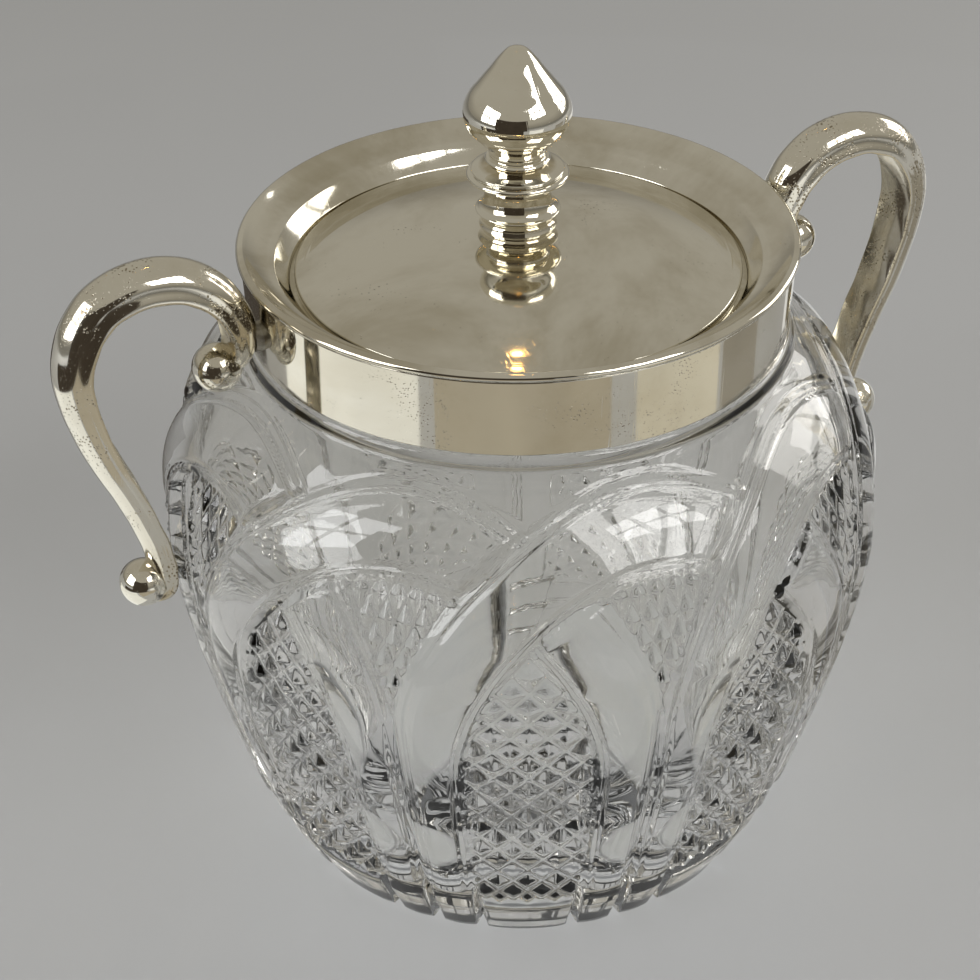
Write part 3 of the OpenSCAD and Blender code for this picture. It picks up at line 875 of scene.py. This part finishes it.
handle = {
    "wide": 8.6, "thick": 4.9, "ballR": 3.7, "sides": 64, "steps": 12, "dish": 0.3, "edgeNeck": 0.07,
    "hammer": 0.02, "hammerOutside": 0.35, "hammerBlows": 7, "wornInside": 0.5, "wornEnds": 0.7,
    # each place: how far it follows the belly, how far out, how high from the rim, share of full size
    "route": [
        (0, 5.0, -11.2, 0.50), (0, 3.5, -10.7, 0.66), (0, 2.6, -8.0, 0.84), (0, 3.1, -4.2, 0.92),
        (0, 5.7, 0.6, 0.98), (0, 10.2, 4.0, 1), (0.2, 13.0, 5.0, 1), (0.4, 15.9, 3.1, 1),
        (0.6, 16.6, -1.3, 1), (0.7, 16.7, -7.0, 0.98), (0.8, 14.5, -13.5, 0.94), (0.9, 10.7, -21.5, 0.88),
        (1, 5.9, -29.5, 0.82), (1, 3.4, -37.0, 0.77), (1, 2.3, -43.0, 0.73), (1, 2.6, -46.6, 0.62),
        (1, 4.8, -47.8, 0.38)],
    "upperBall": (0, 6.5, -11.6), "lowerBall": (1, 5.2, -45.7),
}


def onHandle(p):  # distance from the axis, and height
    wallR = collar["rimR"] - collar["lipOut"]
    return wallR + p[0] * (bowl["bellyR"] - wallR) + p[1], rimZ + p[2]


def makeStrap(name, side, seed):
    h = handle
    path = smoothLine([(*onHandle(p), p[3]) for p in h["route"]], h["steps"])
    run = np.gradient(path[:, :2], axis=0)
    run /= np.linalg.norm(run, axis=1)[:, None]
    turn = 2 * math.pi * (np.arange(h["sides"]) + 0.5) / h["sides"]
    luck = np.random.default_rng(seed)
    halfW, halfT = h["wide"] * path[:, 2:] / 2, h["thick"] * path[:, 2:] / 2
    s = np.sin(turn)
    dished = h["dish"] * np.sin(turn) ** 2 * (s < 0)
    lift = halfT * (np.where(s > 0, 2 * s, np.maximum(1.2 * s, -0.1)) - 0.9 + dished)
    across = halfW * np.cos(turn) * (1 - h["edgeNeck"] * np.exp(-((s - 0.32) / 0.16) ** 2))
    along = np.arange(len(path))[:, None] / h["steps"]
    for k in range(h["hammerBlows"]):  # hammer marks, deepest on the inside
        wave = luck.uniform(2, 9) * along + luck.uniform(1, 3) * np.cos(turn) + luck.uniform(0, 6.3)
        lift = lift + h["hammer"] * np.sin(wave) * np.where(s > 0, h["hammerOutside"], 1)
    x = side * (path[:, :1] - run[:, 1:] * lift)
    z = path[:, 1:2] + run[:, :1] * lift
    points = np.stack([x, side * across + 0 * x, z], 2).reshape(-1, 3)
    faces = ringFaces(len(path), h["sides"], False)
    n, last = h["sides"], (len(path) - 1) * h["sides"]
    mids = [points[:n].mean(0), points[last:].mean(0)]
    faces += [(len(points), (k + 1) % n, k) for k in range(n)]
    faces += [(len(points) + 1, last + k, last + (k + 1) % n) for k in range(n)]
    ends = np.minimum(along, along[-1] - along)
    worn = np.exp(-ends / 1.2) * h["wornEnds"] + h["wornInside"] * (s < 0) * np.ones_like(along)
    points = np.vstack([points, mids])
    return makeMesh(name, points, faces, {"hollow": np.append(np.clip(worn, 0, 1).ravel(), [1, 1])})


def makeBall(name, at, side, seed):  # a drop pressed on the strap's end
    r = handle["ballR"]
    a = np.linspace(-90, 90, 41)
    outline = np.column_stack([r * np.cos(np.radians(a)), r * np.sin(np.radians(a))])
    outline[0, 0] = outline[-1, 0] = 0
    ball = turned(name, outline, columns=64, corner=0.01, wobble=0.03, seed=seed)
    x, z = onHandle(at)
    onItsSide = Matrix.Rotation(math.radians(90), 4, "X")  # its poles point along Y
    ball.data.transform(Matrix.Translation((side * x * mm, 0, z * mm)) @ onItsSide)
    return ball


handleSilver = makeSilver("handle silver", {
    **silverBase, "toned": 0.4, "specks": 0.85, "speckScale": 2100, "pitted": 0.45,
    "dark": (0.36, 0.31, 0.22), "gloss": 0.05, "dull": 0.14, "dents": 0.8, "film": 0.4})
for side, word, seed in ((-1, "left", 21), (1, "right", 22)):
    strap = makeStrap(f"strap{word.title()}", side, seed)
    finish(strap, "bowl", "silver", handleSilver, f"handle_{word}")
    for spot in ("upper", "lower"):
        ball = makeBall(f"{spot}Ball{word.title()}", handle[f"{spot}Ball"], side, seed + len(spot))
        finish(ball, "bowl", "silver", handleSilver, f"handle_{word}_{spot}_ball")
print("handles bent")


# parts that keep their own shape

def dress(node, material):
    piece = nodes[node]
    piece.data.materials.clear()
    piece.data.materials.append(material)


def makePlain(name, light, dark, scale, metallic, rough, bump):
    material, tree, shader = startMaterial(name)
    grain = noise(tree, scale, 6, 0.6)
    tree.links.new(mixColour(tree, ramp(tree, grain, 0.35, 0.7), light, dark), shader.inputs["Base Color"])
    shader.inputs["Metallic"].default_value = metallic
    wiped = useGroup(tree, smears, Scale=scale, Clean=rough[0], Smeared=rough[1])
    tree.links.new(wiped, shader.inputs["Roughness"])
    bumped(tree, shader, grain, bump)
    return material


plainLooks = {  # light and dark colour, grain, metallic, roughness from and to, bump
    "setting plaster": ((0.62, 0.58, 0.5), (0.5, 0.46, 0.38), 400, 0, (0.8, 0.95), 0.0002),
    "solder": ((0.5, 0.48, 0.43), (0.25, 0.22, 0.17), 700, 1, (0.35, 0.55), 0.0001),
    "turned brass": ((0.75, 0.56, 0.28), (0.45, 0.31, 0.15), 300, 1, (0.2, 0.4), 0.00005),
}
plaster, solder, brass = (makePlain(name, *look) for name, look in plainLooks.items())
dress("neck_plaster", plaster)
for word in ("left", "right"):
    dress(f"handle_{word}_solder", solder)
for node in ("finial_stud", "lid_washer", "lid_nut"):
    dress(node, brass)
print("materials done")

low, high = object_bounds()
for word, box in (("visual", (low, high)), ("cad", (cadLow, cadHigh))):
    print(word, "size in mm:", [round((b - a) / mm, 1) for a, b in zip(*box)])
